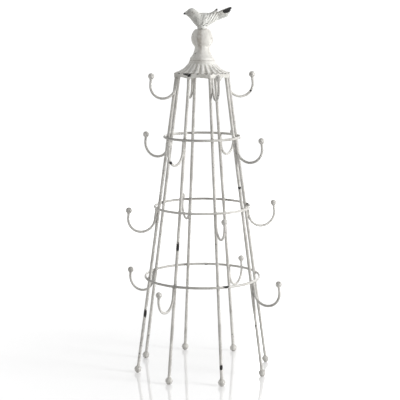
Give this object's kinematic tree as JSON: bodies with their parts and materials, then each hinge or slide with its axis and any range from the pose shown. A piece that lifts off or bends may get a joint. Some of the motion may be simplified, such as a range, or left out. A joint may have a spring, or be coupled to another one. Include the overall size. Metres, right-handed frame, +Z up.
{
  "type": "jewelry stand",
  "caption": "Wire jewelry tree on ball feet: splayed legs, rings and tiers of ball-ended hooks under a fluted cap with a ball and a cast bird.",
  "frame": {"origin": "on the floor, at the middle of the circle of feet", "axes": "+Z up the stand's axis; -Y is the front, where one hook of the top tier points; the bird faces -X"},
  "size_m": [0.1769, 0.1773, 0.4099],
  "materials": {
    "wire_paint": "antique white brushed paint over steel wire, worn dark at edges and joints",
    "cast_paint": "antique white paint with grey-brown patina in the recesses and dark chips",
    "fastener_steel": "plain zinc-plated steel"
  },
  "bodies": {
    "root": {"bird_finial": "cast_paint", "ball_spindle": "cast_paint", "fluted_cap": "cast_paint", "leg_collar": "cast_paint", "tie_rod": "fastener_steel", "rod_washer": "fastener_steel", "rod_nut": "fastener_steel", "leg_front": "wire_paint", "leg_right": "wire_paint", "leg_back": "wire_paint", "leg_left": "wire_paint", "leg_front_right": "wire_paint", "leg_back_right": "wire_paint", "leg_back_left": "wire_paint", "leg_front_left": "wire_paint", "foot_front": "wire_paint", "foot_right": "wire_paint", "foot_back": "wire_paint", "foot_left": "wire_paint", "foot_front_right": "wire_paint", "foot_back_right": "wire_paint", "foot_back_left": "wire_paint", "foot_front_left": "wire_paint", "ring_upper": "wire_paint", "ring_middle": "wire_paint", "ring_lower": "wire_paint", "hook_tier1_front": "wire_paint", "ball_tier1_front": "wire_paint", "hook_tier1_right": "wire_paint", "ball_tier1_right": "wire_paint", "hook_tier1_back": "wire_paint", "ball_tier1_back": "wire_paint", "hook_tier1_left": "wire_paint", "ball_tier1_left": "wire_paint", "hook_tier2_front_right": "wire_paint", "ball_tier2_front_right": "wire_paint", "hook_tier2_back_right": "wire_paint", "ball_tier2_back_right": "wire_paint", "hook_tier2_back_left": "wire_paint", "ball_tier2_back_left": "wire_paint", "hook_tier2_front_left": "wire_paint", "ball_tier2_front_left": "wire_paint", "hook_tier3_front": "wire_paint", "ball_tier3_front": "wire_paint", "hook_tier3_right": "wire_paint", "ball_tier3_right": "wire_paint", "hook_tier3_back": "wire_paint", "ball_tier3_back": "wire_paint", "hook_tier3_left": "wire_paint", "ball_tier3_left": "wire_paint", "hook_tier4_front_right": "wire_paint", "ball_tier4_front_right": "wire_paint", "hook_tier4_back_right": "wire_paint", "ball_tier4_back_right": "wire_paint", "hook_tier4_back_left": "wire_paint", "ball_tier4_back_left": "wire_paint", "hook_tier4_front_left": "wire_paint", "ball_tier4_front_left": "wire_paint"}
  },
  "joints": []
}
